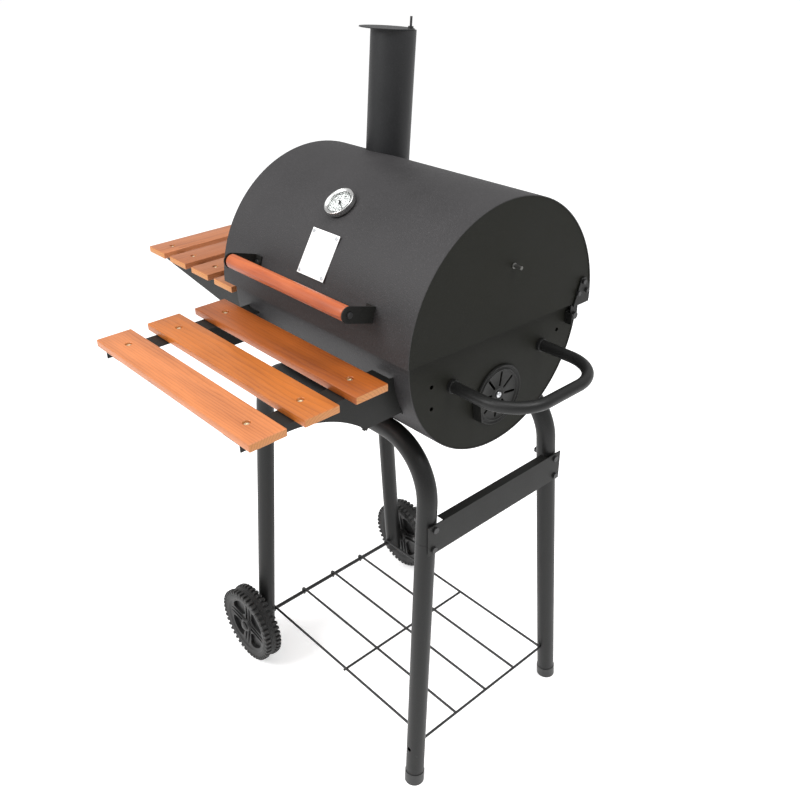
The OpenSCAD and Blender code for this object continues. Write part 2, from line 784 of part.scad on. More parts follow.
module foot_caps() {
    color("#1c1c1c") placed() intersection() {
        for (side = [-1, 1]) leg_line(1, side) difference() {
            translate([0, 0, -4]) cylinder(r = cap_r, h = cap_h + 4);
            translate([0, 0, climb(3) - 0.1]) cylinder(r = tube_r + 0.05, h = 60);
        }
        above(0);
    }
}

// Local -Z runs from the outside of the brace inwards through a leg
module brace_bolt(z, side) {
    translate([brace_x + brace_t, side * frame_y(z), z]) rotate([0, 90, 0]) children();
}
module leg_bolts() {
    color(steel_color) placed() {
        for (side = [-1, 1], z = brace_bolt_z) brace_bolt(z, side) bolt(tube_d + brace_t + 3, head = 11);
        for (side = [-1, 1], x = frame_bolt_x) under_body(x, side, -sheet - 0.2) rotate([180, 0, 0])
            bolt(tube_d + sheet + 0.8);
        for (s = [-1, 1]) shelf_foot(s) translate([0, 0, 0.3 + strap_t])
            bolt(strap_t + sheet + 0.6, head = 11);
        for (s = [-1, 1], z = side_foot_z)
            translate([-body_end_x - 0.2 - strap_t, s * side_foot_y, side_under + z]) rotate([0, -90, 0])
                bolt(strap_t + 0.2 + inset + sheet, head = 11);
    }
}
module end_brace() {
    flange = 16;
    color(steel_color) placed() difference() {
        union() {
            translate([brace_x, -brace_half, brace_z[0]])
                cube([brace_t, 2 * brace_half, brace_z[1] - brace_z[0]]);
            translate([brace_x + brace_t - flange, -130, brace_z[1] - brace_t])
                cube([flange, 260, brace_t]);
        }
        for (side = [-1, 1], z = brace_bolt_z) brace_bolt(z, side) bolt_hole(20);
    }
}

// ---- wheels and wire shelf ----

axle_over = 3;
module axle() {
    color(zinc_color) placed() rod_y(axle_d, -wheel_y - wheel_w - axle_over, wheel_y + wheel_w + axle_over,
        left_leg_x, axle_z);
}
module wheel(side) {
    tyre = 17;
    dish = 14;
    color("#1b1b1b") placed() translate([left_leg_x, side * wheel_y, axle_z])
        rotate([-side * 90, 0, 0]) difference() {
        cylinder(d = wheel_d, h = wheel_w, $fn = 120);
        for (face = [0, 1]) translate([0, 0, face * wheel_w]) difference() {
            cylinder(d = wheel_d - 2 * tyre, h = 2 * dish, center = true, $fn = 96);
            cylinder(d = 34, h = 60, center = true);
        }
        cylinder(d = axle_d + 2 * running, h = 100, center = true);
    }
}
module wheel_front() { wheel(-1); }
module wheel_rear() { wheel(1); }
module wheel_caps() {
    color("#1b1b1b") placed() for (side = [-1, 1])
        translate([left_leg_x, side * (wheel_y + wheel_w + clear), axle_z])
            rotate([-side * 90, 0, 0]) difference() {
            cylinder(d = 20, h = cap_over - clear);
            translate([0, 0, -1]) cylinder(d = axle_d + 0.1, h = 1 + axle_over - clear + 0.2);
        }
}

// Each long wire hooks over the axle; a pin inside it joins the hook to the straight
module wire_shelf() {
    cross_half = [shelf_half + 3, frame_y(shelf_cross_z) - 4];
    color(steel_color) placed() union() {
        for (k = [-2:2]) translate([left_leg_x, k * shelf_half / 2, axle_z]) {
            rotate([90, 0, 0]) rotate([0, 0, 90]) rotate_extrude(angle = 180, $fn = 48)
                translate([shelf_z - axle_z, 0]) circle(d = wire_d);
            rod_x(wire_d - 1, -1.5, 3, 0, shelf_z - axle_z);
            rod_x(wire_d, 0.05, shelf_x[1] - left_leg_x, 0, shelf_z - axle_z);
        }
        for (k = [0, 1]) rod_y(wire_d, -cross_half[k], cross_half[k], shelf_x[k], shelf_cross_z);
    }
}

// ---- inside the barrel ----

module rods_grate(x0, x1, half, z, pitch) {
    count = floor((x1 - x0 - rod_d) / pitch);
    step = (x1 - x0 - rod_d) / count;
    for (k = [0:count]) rod_y(rod_d, -half, half, x0 + rod_d / 2 + k * step, z);
    for (s = [-1, 0, 1]) rod_x(rod_d, x0, x1, s * (half - 8), z + rod_d * 0.8);
}
module cooking_grate_left() { color(steel_color) placed() mirror([1, 0, 0])
    rods_grate(1.5, grate_end_x, grate_half, grate_z, 16); }
module cooking_grate_right() { color(steel_color) placed()
    rods_grate(1.5, grate_end_x, grate_half, grate_z, 16); }
support_x = 150;
support_t = 3;
module charcoal_grate() { color(steel_color) placed() rods_grate(-198, 198, 138, charcoal_z, 22); }
module charcoal_grate_supports() {
    bar_w = 20;
    color(steel_color) placed() for (s = [-1, 1]) intersection() {
        translate([s * support_x - bar_w / 2, -200, charcoal_z - rod_d / 2 - support_t - 0.1])
            cube([bar_w, 400, support_t]);
        rod_x(2 * (body_radius - sheet) - 0.2, -300, 300, 0, body_height, $fn = 120);
    }
}
module warming_rack() {
    tray_z = rack_z - 22;
    tray_y = [rack_y - 48, rack_y + 48];
    cross_d = 3;
    cross_pitch = 17.5;
    strap = 3;
    color(zinc_color) placed() union() {
        for (y = tray_y) rod_x(rod_d, -rack_x, rack_x, y, tray_z);
        for (k = [-12:12]) rod_y(cross_d, tray_y[0], tray_y[1], k * cross_pitch, tray_z);
        for (s = [-1, 1]) {
            rod_y(rod_d, tray_y[0], tray_y[1], s * rack_x, tray_z);
            difference() {
                in_yz(s * rack_x - strap / 2, strap) union() {
                    translate([rack_y, rack_z]) circle(r = 8);
                    translate([rack_y - 6, tray_z]) square([12, rack_z - tray_z]);
                }
                rod_x(bolt_d + 2 * running, s * rack_x - 5, s * rack_x + 5, rack_y, rack_z);
            }
        }
    }
}
module rack_studs() {
    color(zinc_color) placed() for (s = [0, 1]) mirror([s, 0, 0]) {
        rod_x(11, rack_x - 5.5, rack_x - 2, rack_y, rack_z);
        rod_x(bolt_d, rack_x - 4, lid_plate_x + 15, rack_y, rack_z);
        rod_x(9, lid_plate_x + 0.1, lid_plate_x + 1.3, rack_y, rack_z);
    }
}

body_shell();
body_end_left();
body_end_right();
lid_shell();
lid_end_left();
lid_end_right();
chimney_pipe();
chimney_flap();
flap_pivot();
thermometer_case();
thermometer_dial();
thermometer_needle();
thermometer_lens();
label_plate();
label_rivets();
lid_handle_dowel();
lid_handle_brackets();
lid_handle_screws();
hinge_lid_leaves();
hinge_body_leaves();
hinge_pins();
hinge_bolts();
carry_handle();
carry_handle_bolts();
air_damper();
air_damper_screw();
front_shelf_bracket_left();
front_shelf_bracket_right();
front_slat_inner();
front_slat_middle();
front_slat_outer();
front_slat_bolts();
side_shelf_bracket_front();
side_shelf_bracket_rear();
side_slat_1();
side_slat_2();
side_slat_3();
side_slat_4();
side_slat_bolts();
upper_frame_front();
upper_frame_rear();
lower_leg_front_right();
lower_leg_rear_right();
lower_leg_front_left();
lower_leg_rear_left();
foot_caps();
leg_bolts();
end_brace();
axle();
wheel_front();
wheel_rear();
wheel_caps();
wire_shelf();
cooking_grate_left();
cooking_grate_right();
charcoal_grate();
charcoal_grate_supports();
warming_rack();
rack_studs();
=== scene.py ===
import itertools
import json
import math

import bmesh
import bpy
from mathutils import Matrix, Vector


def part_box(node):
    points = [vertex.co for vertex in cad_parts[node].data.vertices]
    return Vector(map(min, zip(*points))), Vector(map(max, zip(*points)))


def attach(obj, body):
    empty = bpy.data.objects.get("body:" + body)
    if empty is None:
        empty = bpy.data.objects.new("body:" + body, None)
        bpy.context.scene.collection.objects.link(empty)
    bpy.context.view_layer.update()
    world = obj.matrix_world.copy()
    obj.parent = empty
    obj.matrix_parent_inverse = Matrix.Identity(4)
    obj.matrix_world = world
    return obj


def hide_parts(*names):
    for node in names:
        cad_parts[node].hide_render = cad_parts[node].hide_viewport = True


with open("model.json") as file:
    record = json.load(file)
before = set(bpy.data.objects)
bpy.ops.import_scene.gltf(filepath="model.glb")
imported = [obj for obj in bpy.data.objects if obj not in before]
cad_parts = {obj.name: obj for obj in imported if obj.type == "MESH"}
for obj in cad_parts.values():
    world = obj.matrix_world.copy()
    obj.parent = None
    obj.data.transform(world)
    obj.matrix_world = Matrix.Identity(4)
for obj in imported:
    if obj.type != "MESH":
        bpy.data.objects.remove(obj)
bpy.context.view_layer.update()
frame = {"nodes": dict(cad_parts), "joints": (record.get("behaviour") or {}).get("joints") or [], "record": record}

MM = 0.001  # a millimetre in metres
M = 1000.0  # a metre in millimetres
MERGE = 0.002  # millimetres between two points of a CAD mesh that are the same point
NODES = frame["nodes"]
JOINTS = {j["name"]: j for j in frame["joints"]}
BODY_OF = {n: b for b, ns in frame["record"]["behaviour"]["bodies"].items() for n in ns}
scene = bpy.context.scene


# ---------------------------------------------------------------- materials

class Graph:
    """A material's node tree with short calls for the nodes used here."""

    def __init__(self, name):
        self.material = bpy.data.materials.new(name)
        self.material.use_nodes = True
        self.tree = self.material.node_tree
        self.shader = self.tree.nodes["Principled BSDF"]
        coords = self.tree.nodes.new("ShaderNodeTexCoord")
        self.place = coords.outputs["Object"]

    def node(self, kind, **values):
        n = self.tree.nodes.new("ShaderNode" + kind)
        for key, value in values.items():
            setattr(n, key, value)
        return n

    def link(self, source, socket):
        if isinstance(source, (int, float, tuple)):
            socket.default_value = source
        else:
            self.tree.links.new(source, socket)

    def math(self, operation, a, b=0.0, clamp=False):
        n = self.node("Math", operation=operation, use_clamp=clamp)
        for socket, value in zip(n.inputs, (a, b)):
            self.link(value, socket)
        return n.outputs[0]

    def stretch(self, vector, factors, offset=(0.0, 0.0, 0.0)):
        n = self.node("Mapping")
        self.link(vector, n.inputs["Vector"])
        n.inputs["Scale"].default_value = factors
        n.inputs["Location"].default_value = offset
        return n.outputs[0]

    def noise(self, scale, detail=3.0, roughness=0.5, vector=None):
        n = self.node("TexNoise")
        self.link(vector or self.place, n.inputs["Vector"])
        n.inputs["Scale"].default_value = scale
        n.inputs["Detail"].default_value = detail
        n.inputs["Roughness"].default_value = roughness
        return n.outputs["Fac"]

    def remap(self, value, low, high, to_low, to_high):
        n = self.node("MapRange")
        ends = {"From Min": low, "From Max": high, "To Min": to_low, "To Max": to_high}
        for key, v in {"Value": value, **ends}.items():
            self.link(v, n.inputs[key])
        return n.outputs[0]

    def ramp(self, value, stops):
        n = self.node("ValToRGB")
        self.link(value, n.inputs[0])
        elements = n.color_ramp.elements
        while len(elements) < len(stops):
            elements.new(0.5)
        for element, (position, colour) in zip(elements, stops):
            element.position = position
            element.color = (*colour, 1.0)
        return n.outputs[0]

    def mix(self, factor, a, b, blend="MIX"):
        n = self.node("Mix", data_type="RGBA", blend_type=blend)
        self.link(factor, n.inputs[0])
        for socket, value in ((n.inputs[6], a), (n.inputs[7], b)):
            self.link((*value, 1.0) if isinstance(value, tuple) else value, socket)
        return n.outputs[2]

    def bump(self, height, strength, distance):
        n = self.node("Bump")
        n.inputs["Strength"].default_value = strength
        n.inputs["Distance"].default_value = distance
        self.link(height, n.inputs["Height"])
        return n.outputs[0]

    def finish(self, colour, roughness, normal=None, **constants):
        """Wires the shader and gives the material; constants are other inputs, with _ for a space."""
        self.link(colour, self.shader.inputs["Base Color"])
        self.link(roughness, self.shader.inputs["Roughness"])
        if normal is not None:
            self.link(normal, self.shader.inputs["Normal"])
        for key, value in constants.items():
            self.shader.inputs[key.replace("_", " ")].default_value = value
        return self.material


def paint(name, dark, light, rough, grain_mm, grain, dust=0.0, specular=0.5):
    """Sprayed paint: a fine grain in the surface, cloudy tone, and a little dust and handling wear.

    dark and light are the tone's two ends. grain_mm is the grain's size and grain how far it stands out."""
    g = Graph(name)
    fine = g.noise(1.0 / (grain_mm * MM), 2.0, 0.6)
    ripple = g.noise(260.0, 2.0, 0.5)
    cloud = g.noise(9.0, 4.0, 0.55)
    colour = g.mix(g.remap(cloud, 0.3, 0.7, 0.0, 1.0), dark, light)
    speck = g.remap(fine, 0.62, 0.74, 0.0, 0.35)
    colour = g.mix(speck, colour, tuple(min(1.0, 2.6 * c) for c in light))
    colour = g.mix(1.0, colour, g.remap(fine, 0.36, 0.64, 0.78, 1.22), "MULTIPLY")
    scuff = g.noise(70.0, 6.0, 0.75, g.stretch(g.place, (1.0, 1.0, 0.35)))
    worn_patch = g.remap(g.noise(5.0, 2.0), 0.5, 0.65, 0.0, dust)
    scuff = g.math("MULTIPLY", g.remap(scuff, 0.66, 0.72, 0.0, 1.0), worn_patch)
    colour = g.mix(scuff, colour, (0.20, 0.19, 0.18))
    shine = g.remap(cloud, 0.3, 0.7, rough - 0.04, rough + 0.05)
    shine = g.math("ADD", shine, g.remap(fine, 0.3, 0.7, -0.05, 0.05))
    shine = g.math("ADD", shine, g.math("MULTIPLY", scuff, 0.2), clamp=True)
    height = g.math("ADD", g.math("MULTIPLY", fine, 0.8), g.math("MULTIPLY", ripple, 0.35))
    normal = g.bump(height, grain, grain_mm * MM * 0.35)
    return g.finish(colour, shine, normal, Specular_IOR_Level=specular)


def metal(name, tone, rough, brushed=None):
    """Bare or plated metal with fine streaks; brushed stretches them along an axis."""
    g = Graph(name)
    place = g.place if brushed is None else g.stretch(g.place, brushed)
    streak = g.noise(500.0, 3.0, 0.6, place)
    cloud = g.noise(60.0, 4.0, 0.6)
    colour = g.mix(g.remap(cloud, 0.35, 0.7, 0.0, 1.0), tone, tuple(c * 0.72 for c in tone))
    shine = g.remap(streak, 0.3, 0.7, rough - 0.07, rough + 0.09)
    shine = g.math("ADD", shine, g.remap(cloud, 0.4, 0.7, 0.0, 0.10))
    return g.finish(colour, shine, g.bump(streak, 0.12, 0.0001), Metallic=1.0)


def moulded(name, dark, light, rough, grain):
    """Black moulded plastic, slightly dusty."""
    g = Graph(name)
    fine = g.noise(1500.0, 2.0, 0.5)
    cloud = g.noise(30.0, 5.0, 0.65)
    dust = g.remap(g.noise(110.0, 6.0, 0.8), 0.55, 0.75, 0.0, 0.30)
    colour = g.mix(g.remap(cloud, 0.3, 0.7, 0.0, 1.0), dark, light)
    colour = g.mix(dust, colour, (0.09, 0.088, 0.082))
    shine = g.remap(cloud, 0.3, 0.7, rough - 0.05, rough + 0.08)
    shine = g.math("ADD", shine, g.math("MULTIPLY", dust, 0.4), clamp=True)
    return g.finish(colour, shine, g.bump(fine, grain, 0.0002))


def plain(name, tone, rough, spread=0.04):
    """An even enamel or ink whose tone varies by the share spread."""
    g = Graph(name)
    cloud = g.noise(45.0, 4.0, 0.6)
    fine = g.noise(900.0, 2.0)
    colour = g.mix(g.remap(cloud, 0.3, 0.7, 0.0, 1.0), tone, tuple(c * (1.0 - spread) for c in tone))
    shine = g.remap(cloud, 0.3, 0.7, rough - 0.03, rough + 0.05)
    return g.finish(colour, shine, g.bump(fine, 0.05, 0.0001))


def glass(name):
    """Clear glass with a faint smear."""
    g = Graph(name)
    smear = g.noise(90.0, 4.0, 0.6)
    return g.finish((0.96, 0.98, 0.98, 1.0), g.remap(smear, 0.45, 0.75, 0.02, 0.10),
                    g.bump(smear, 0.02, 0.0001), Transmission_Weight=1.0, IOR=1.3)


def wood(name, along, heart, turn, light, mid, dark, end_grain):
    """Stained softwood as a solid: growth rings round a heart line, fibres along the board, and an end grain.

    along is 0 for X or 1 for Y. heart is where the rings' centre lies across the board, in metres.
    turn shifts the pattern, so that no two boards are alike."""
    g = Graph(name)
    split = g.node("SeparateXYZ")
    g.link(g.place, split.inputs[0])
    length, across = split.outputs[along], split.outputs[1 - along]
    height = split.outputs[2]
    stack = g.node("CombineXYZ")
    for value, socket in zip((length, across, height), stack.inputs):
        g.link(value, socket)
    stack = stack.outputs[0]
    shift = (turn * 1.7, turn * 0.9, turn * 1.3)
    slow_a = g.noise(1.0, 2.0, 0.5, g.stretch(stack, (4.0, 26.0, 26.0), shift))
    slow_b = g.noise(1.0, 2.0, 0.5, g.stretch(stack, (5.0, 20.0, 24.0), (turn, 3.0, 7.0)))
    sway = g.math("MULTIPLY", g.math("SUBTRACT", slow_a, 0.5), 0.014)
    side = g.math("ADD", g.math("SUBTRACT", across, heart[0]), sway)
    lift = g.math("MULTIPLY", g.math("SUBTRACT", slow_b, 0.5), 0.012)
    up = g.math("ADD", g.math("SUBTRACT", height, heart[1]), lift)
    radius = g.math("SQRT", g.math("ADD", g.math("MULTIPLY", side, side), g.math("MULTIPLY", up, up)))
    wander = g.noise(1.0, 3.0, 0.6, g.stretch(stack, (14.0, 90.0, 90.0), shift))
    ring_width = 0.0042
    turns = g.math("ADD", g.math("MULTIPLY", radius, 1.0 / ring_width), g.math("MULTIPLY", wander, 0.55))
    ring = g.math("POWER", g.math("FRACT", turns), 2.6)
    fibre = g.noise(1.0, 4.0, 0.65, g.stretch(stack, (22.0, 1100.0, 1100.0), shift))
    cloud = g.noise(1.0, 3.0, 0.5, g.stretch(stack, (6.0, 30.0, 30.0), (turn * 2.1, 1.0, 2.0)))
    pore = g.noise(1.0, 2.0, 0.5, g.stretch(stack, (60.0, 1900.0, 1900.0), shift))
    pore = g.remap(pore, 0.66, 0.74, 0.0, 1.0)
    tone = g.math("ADD", g.math("MULTIPLY", ring, 0.32), g.math("MULTIPLY", fibre, 0.42))
    tone = g.math("ADD", tone, g.remap(cloud, 0.3, 0.7, -0.08, 0.36), clamp=True)
    colour = g.ramp(tone, [(0.12, light), (0.46, mid), (0.92, dark)])
    colour = g.mix(g.math("MULTIPLY", pore, 0.35), colour, tuple(c * 0.45 for c in dark))
    facing = g.node("NewGeometry")
    normal_split = g.node("SeparateXYZ")
    g.link(facing.outputs["Normal"], normal_split.inputs[0])
    ends = g.remap(g.math("ABSOLUTE", normal_split.outputs[along]), 0.75, 0.9, 0.0, 1.0)
    fade = ((0.0, 1.0), (0.45, 0.94), (0.95, 0.70))
    ring_end = g.ramp(ring, [(at, tuple(c * k for c in end_grain)) for at, k in fade])
    dots = g.noise(1.0, 3.0, 0.7, g.stretch(stack, (300.0, 1500.0, 1500.0), shift))
    ring_end = g.mix(1.0, ring_end, g.remap(dots, 0.35, 0.65, 0.82, 1.08), "MULTIPLY")
    colour = g.mix(ends, colour, ring_end)
    shine = g.math("ADD", g.remap(fibre, 0.3, 0.7, 0.36, 0.50), g.math("MULTIPLY", ends, 0.22), clamp=True)
    relief = g.math("ADD", g.math("MULTIPLY", fibre, 0.6), g.math("MULTIPLY", ring, -0.4))
    relief = g.math("SUBTRACT", relief, g.math("MULTIPLY", pore, 0.8))
    return g.finish(colour, shine, g.bump(relief, 0.35, 0.00025), Coat_Weight=0.12, Coat_Roughness=0.3)


BARREL = paint("barrel_paint", (0.0198, 0.0186, 0.0196), (0.0268, 0.0252, 0.0264),
               rough=0.60, grain_mm=1.9, grain=0.70, dust=0.30, specular=0.42)
# End plates: their own olive paint, made much darker than the barrel paint so that it paints in the shade that
# falls on the end faces (painted shade)
END_PLATE_PAINT_AND_SHADE = paint("end_plate_paint_and_painted_shade", (0.0072, 0.0074, 0.0050), (0.0100, 0.0102, 0.0072),
              rough=0.64, grain_mm=1.5, grain=0.50, dust=0.20, specular=0.18)
CHIMNEY = paint("chimney_paint", (0.0100, 0.0103, 0.0112), (0.0142, 0.0145, 0.0156),
                rough=0.44, grain_mm=1.2, grain=0.35, dust=0.15, specular=0.34)
FRAME = paint("frame_powder_coat", (0.0088, 0.0089, 0.0088), (0.0122, 0.0123, 0.0120),
              rough=0.42, grain_mm=1.2, grain=0.30, dust=0.25, specular=0.28)
BRACKET = paint("bracket_paint", (0.0074, 0.0075, 0.0068), (0.0106, 0.0107, 0.0098),
                rough=0.50, grain_mm=1.2, grain=0.30, dust=0.25, specular=0.26)
ENAMEL = paint("grate_enamel", (0.0120, 0.0120, 0.0120), (0.0200, 0.0200, 0.0200),
               rough=0.35, grain_mm=0.8, grain=0.20, dust=0.30)
WIRE = paint("wire_paint", (0.0110, 0.0112, 0.0115), (0.0160, 0.0162, 0.0165),
             rough=0.45, grain_mm=0.7, grain=0.20, dust=0.20)
BLACK_BOLT = paint("black_bolt", (0.0120, 0.0120, 0.0125), (0.0200, 0.0200, 0.0210),
                   rough=0.38, grain_mm=0.5, grain=0.15, dust=0.40)
ZINC = metal("zinc_plate", (0.66, 0.67, 0.69), 0.30)
STEEL = metal("polished_steel", (0.74, 0.74, 0.73), 0.20, (1.0, 8.0, 8.0))
BRASS = metal("yellow_zinc", (0.95, 0.84, 0.60), 0.36)
RACK = metal("rack_plating", (0.62, 0.62, 0.62), 0.25)
STUD = metal("dull_stud", (0.20, 0.20, 0.19), 0.45)
DIAL = plain("dial_enamel", (0.86, 0.86, 0.84), 0.35)
LABEL = plain("label_enamel", (0.92, 0.92, 0.92), 0.40, 0.02)
INK = plain("dial_print", (0.035, 0.035, 0.035), 0.5)
LENS = glass("clear_lens")
TYRE = moulded("tyre_plastic", (0.0120, 0.0120, 0.0118), (0.0230, 0.0230, 0.0225), 0.56, 0.35)
HUB = moulded("hub_plastic", (0.0080, 0.0080, 0.0080), (0.0170, 0.0170, 0.0170), 0.46, 0.20)
CAP = moulded("cap_plastic", (0.0090, 0.0090, 0.0090), (0.0170, 0.0170, 0.0170), 0.42, 0.20)


# ---------------------------------------------------------------- mesh helpers

CREASE = 35.0  # degrees: a sharper edge than this is drawn as an edge


def apply_modifiers(obj):
    """Replaces the object's mesh with what its modifiers make of it."""
    graph = bpy.context.evaluated_depsgraph_get()
    mesh = bpy.data.meshes.new_from_object(obj.evaluated_get(graph))
    obj.modifiers.clear()
    obj.data = mesh


def shade(mesh, crease):
    """Smooth faces that meet at less than crease degrees, sharp edges elsewhere."""
    bm = bmesh.new()
    bm.from_mesh(mesh)
    for face in bm.faces:
        face.smooth = True
    for edge in bm.edges:
        edge.smooth = len(edge.link_faces) == 2 and edge.calc_face_angle(0.0) < math.radians(crease)
    bm.to_mesh(mesh)
    bm.free()


def soften(obj, width, segments, crease):
    """Rounds the edges sharper than crease degrees, with the flat faces kept flat."""
    mod = obj.modifiers.new("edges", "BEVEL")
    mod.width = width * MM
    mod.segments = segments
    mod.limit_method = "ANGLE"
    mod.angle_limit = math.radians(crease)
    mod.use_clamp_overlap = True
    mod.harden_normals = True
    apply_modifiers(obj)


def piece(name, bm, material, body, stands_for=(), matrix=None, bevel=0.0, segments=2, crease=CREASE):
    """Makes an object from a bmesh in millimetres, puts it in place and has it ride on a body.

    stands_for lists the CAD nodes that it replaces."""
    place = (matrix or Matrix.Identity(4)) @ Matrix.Scale(MM, 4)
    bmesh.ops.transform(bm, matrix=place, verts=bm.verts)
    bmesh.ops.recalc_face_normals(bm, faces=bm.faces)
    mesh = bpy.data.meshes.new(name)
    bm.to_mesh(mesh)
    bm.free()
    shade(mesh, crease)
    obj = bpy.data.objects.new(name, mesh)
    scene.collection.objects.link(obj)
    if bevel:
        soften(obj, bevel, segments, crease)
    obj.data.materials.clear()
    obj.data.materials.append(material)
    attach(obj, body)
    if stands_for:
        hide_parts(*stands_for)
    return obj


def cad_copy(node):
    """A CAD node's solids as a clean bmesh in millimetres."""
    bm = bmesh.new()
    bm.from_mesh(NODES[node].data)
    bmesh.ops.scale(bm, vec=(M,) * 3, verts=bm.verts)
    bmesh.ops.remove_doubles(bm, verts=bm.verts, dist=MERGE)
    bmesh.ops.dissolve_degenerate(bm, edges=bm.edges, dist=MERGE)
    bmesh.ops.dissolve_limit(bm, angle_limit=math.radians(0.3), verts=bm.verts, edges=bm.edges)
    return bm


def eased(node, material, bevel, segments=2, crease=CREASE):
    """The node's shape with its sheet edges eased, as pressed and painted metal has them."""
    return piece(node + "_finished", cad_copy(node), material, BODY_OF[node], [node],
                 bevel=bevel, segments=segments, crease=crease)


def islands(node):
    """(low, high) in millimetres of each separate solid of a node."""
    bm = bmesh.new()
    bm.from_mesh(NODES[node].data)
    bmesh.ops.scale(bm, vec=(M,) * 3, verts=bm.verts)
    bmesh.ops.remove_doubles(bm, verts=bm.verts, dist=MERGE)
    seen, found = set(), []
    for start in bm.verts:
        if start in seen:
            continue
        stack, low, high = [start], Vector((1e9,) * 3), Vector((-1e9,) * 3)
        seen.add(start)
        while stack:
            v = stack.pop()
            low = Vector(map(min, low, v.co))
            high = Vector(map(max, high, v.co))
            for e in v.link_edges:
                other = e.other_vert(v)
                if other not in seen:
                    seen.add(other)
                    stack.append(other)
        found.append((low, high))
    bm.free()
    return found


def box_mm(node):
    """The low and high corners of a node's box, in millimetres."""
    low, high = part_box(node)
    return low * M, high * M


def add_box(bm, low, high, matrix=None):
    """A box between two corners, turned by matrix."""
    corners = [Vector(xyz) for xyz in itertools.product(*zip(low, high))]
    verts = [bm.verts.new(matrix @ c if matrix else c) for c in corners]
    for a, b, c, d in ((0, 1, 3, 2), (4, 6, 7, 5), (0, 4, 5, 1), (2, 3, 7, 6), (0, 2, 6, 4), (1, 5, 7, 3)):
        bm.faces.new((verts[a], verts[b], verts[c], verts[d]))


def add_lathe(bm, profile, segments=64, matrix=None, closed=False):
    """Turns a profile of (radius, height) round the local Z. A point at radius 0 is one vertex."""
    rings = []
    for radius, height in profile:
        if radius < 1e-6:
            rings.append([bm.verts.new(Vector((0.0, 0.0, height)))])
        else:
            rings.append([bm.verts.new(Vector((radius * math.cos(2 * math.pi * k / segments),
                                               radius * math.sin(2 * math.pi * k / segments), height)))
                          for k in range(segments)])
    pairs = list(zip(rings, rings[1:])) + ([(rings[-1], rings[0])] if closed else [])
    for a, b in pairs:
        if len(a) == len(b) == 1:
            continue
        for k in range(segments):
            n = (k + 1) % segments
            if len(a) == 1:
                bm.faces.new((a[0], b[k], b[n]))
            elif len(b) == 1:
                bm.faces.new((a[k], b[0], a[n]))
            else:
                bm.faces.new((a[k], b[k], b[n], a[n]))
    if matrix:
        bmesh.ops.transform(bm, matrix=matrix, verts=[v for ring in rings for v in ring])


def add_stack(bm, rings):
    """Skins a stack of closed rings with the same number of points, and closes both ends."""
    loops = [[bm.verts.new(point) for point in ring] for ring in rings]
    for a, b in zip(loops, loops[1:]):
        for k in range(len(a)):
            n = (k + 1) % len(a)
            bm.faces.new((a[k], a[n], b[n], b[k]))
    bm.faces.new(loops[0])
    bm.faces.new(loops[-1])


def add_prism(bm, outline, low, high, matrix):
    """An outline in the local XY plane, drawn out from low to high along local Z."""
    add_stack(bm, [[matrix @ Vector((x, y, z)) for x, y in outline] for z in (low, high)])


def add_nut(bm, radius, levels, centre=(0.0, 0.0)):
    """A six-sided nut. levels are (share of the radius, height), from one face to the other."""
    corners = [(radius * math.cos(math.pi / 3 * k), radius * math.sin(math.pi / 3 * k)) for k in range(6)]
    add_stack(bm, [[Vector((centre[0] + x * share, centre[1] + y * share, z)) for x, y in corners]
                   for share, z in levels])


def quarter_turn(steps=6):
    """Angles from 0 to a right angle."""
    return [math.pi / 2 * k / steps for k in range(steps + 1)]


def dome(radius, base, height):
    """Profile points of a domed cap that rises height above base and ends on the axis."""
    return [(radius * math.cos(a), base + height * math.sin(a)) for a in quarter_turn()]


def facing(axis, point_m):
    """Local Z along axis and local X as near the frame's X as it can be, at a point in metres."""
    z = Vector(axis).normalized()
    x = Vector((1.0, 0.0, 0.0))
    x = (x - z * x.dot(z)).normalized()
    y = z.cross(x)
    m = Matrix((x, y, z)).transposed().to_4x4()
    m.translation = Vector(point_m)
    return m


def cut(obj, cutter_bm, material):
    """Takes cutter_bm, in millimetres, away from the object and gives it its look again."""
    mesh = bpy.data.meshes.new("cutter")
    bmesh.ops.scale(cutter_bm, vec=(MM,) * 3, verts=cutter_bm.verts)
    bmesh.ops.recalc_face_normals(cutter_bm, faces=cutter_bm.faces)
    cutter_bm.to_mesh(mesh)
    cutter_bm.free()
    cutter = bpy.data.objects.new("cutter", mesh)
    scene.collection.objects.link(cutter)
    mod = obj.modifiers.new("cut", "BOOLEAN")
    mod.operation = "DIFFERENCE"
    mod.solver = "EXACT"
    mod.object = cutter
    apply_modifiers(obj)
    bpy.data.objects.remove(cutter)
    bpy.data.meshes.remove(mesh)
    shade(obj.data, CREASE)
    obj.data.materials.clear()
    obj.data.materials.append(material)


# ---------------------------------------------------------------- barrel, lid, chimney

for node in ("body_shell", "lid_shell"):
    eased(node, BARREL, 0.4)
# The end plates get the olive paint with painted shade in it
for node in ("body_end_left", "body_end_right", "lid_end_left", "lid_end_right"):
    eased(node, END_PLATE_PAINT_AND_SHADE, 0.5)
eased("chimney_pipe", CHIMNEY, 0.35)
eased("chimney_flap", CHIMNEY, 0.35)
eased("flap_pivot", BLACK_BOLT, 0.3, crease=40.0)
for node in ("lid_handle_brackets", "hinge_lid_leaves", "hinge_body_leaves"):
    eased(node, BRACKET, 0.4)
eased("hinge_bolts", BLACK_BOLT, 0.4, crease=40.0)
eased("hinge_pins", BLACK_BOLT, 0.5, crease=40.0)
eased("lid_handle_screws", BLACK_BOLT, 0.5, crease=40.0)
eased("rack_studs", STUD, 0.4, crease=40.0)
eased("label_plate", LABEL, 0.15)
eased("carry_handle", FRAME, 0.6)
eased("carry_handle_bolts", ZINC, 0.5, crease=40.0)
eased("label_rivets", ZINC, 0.35, crease=40.0)

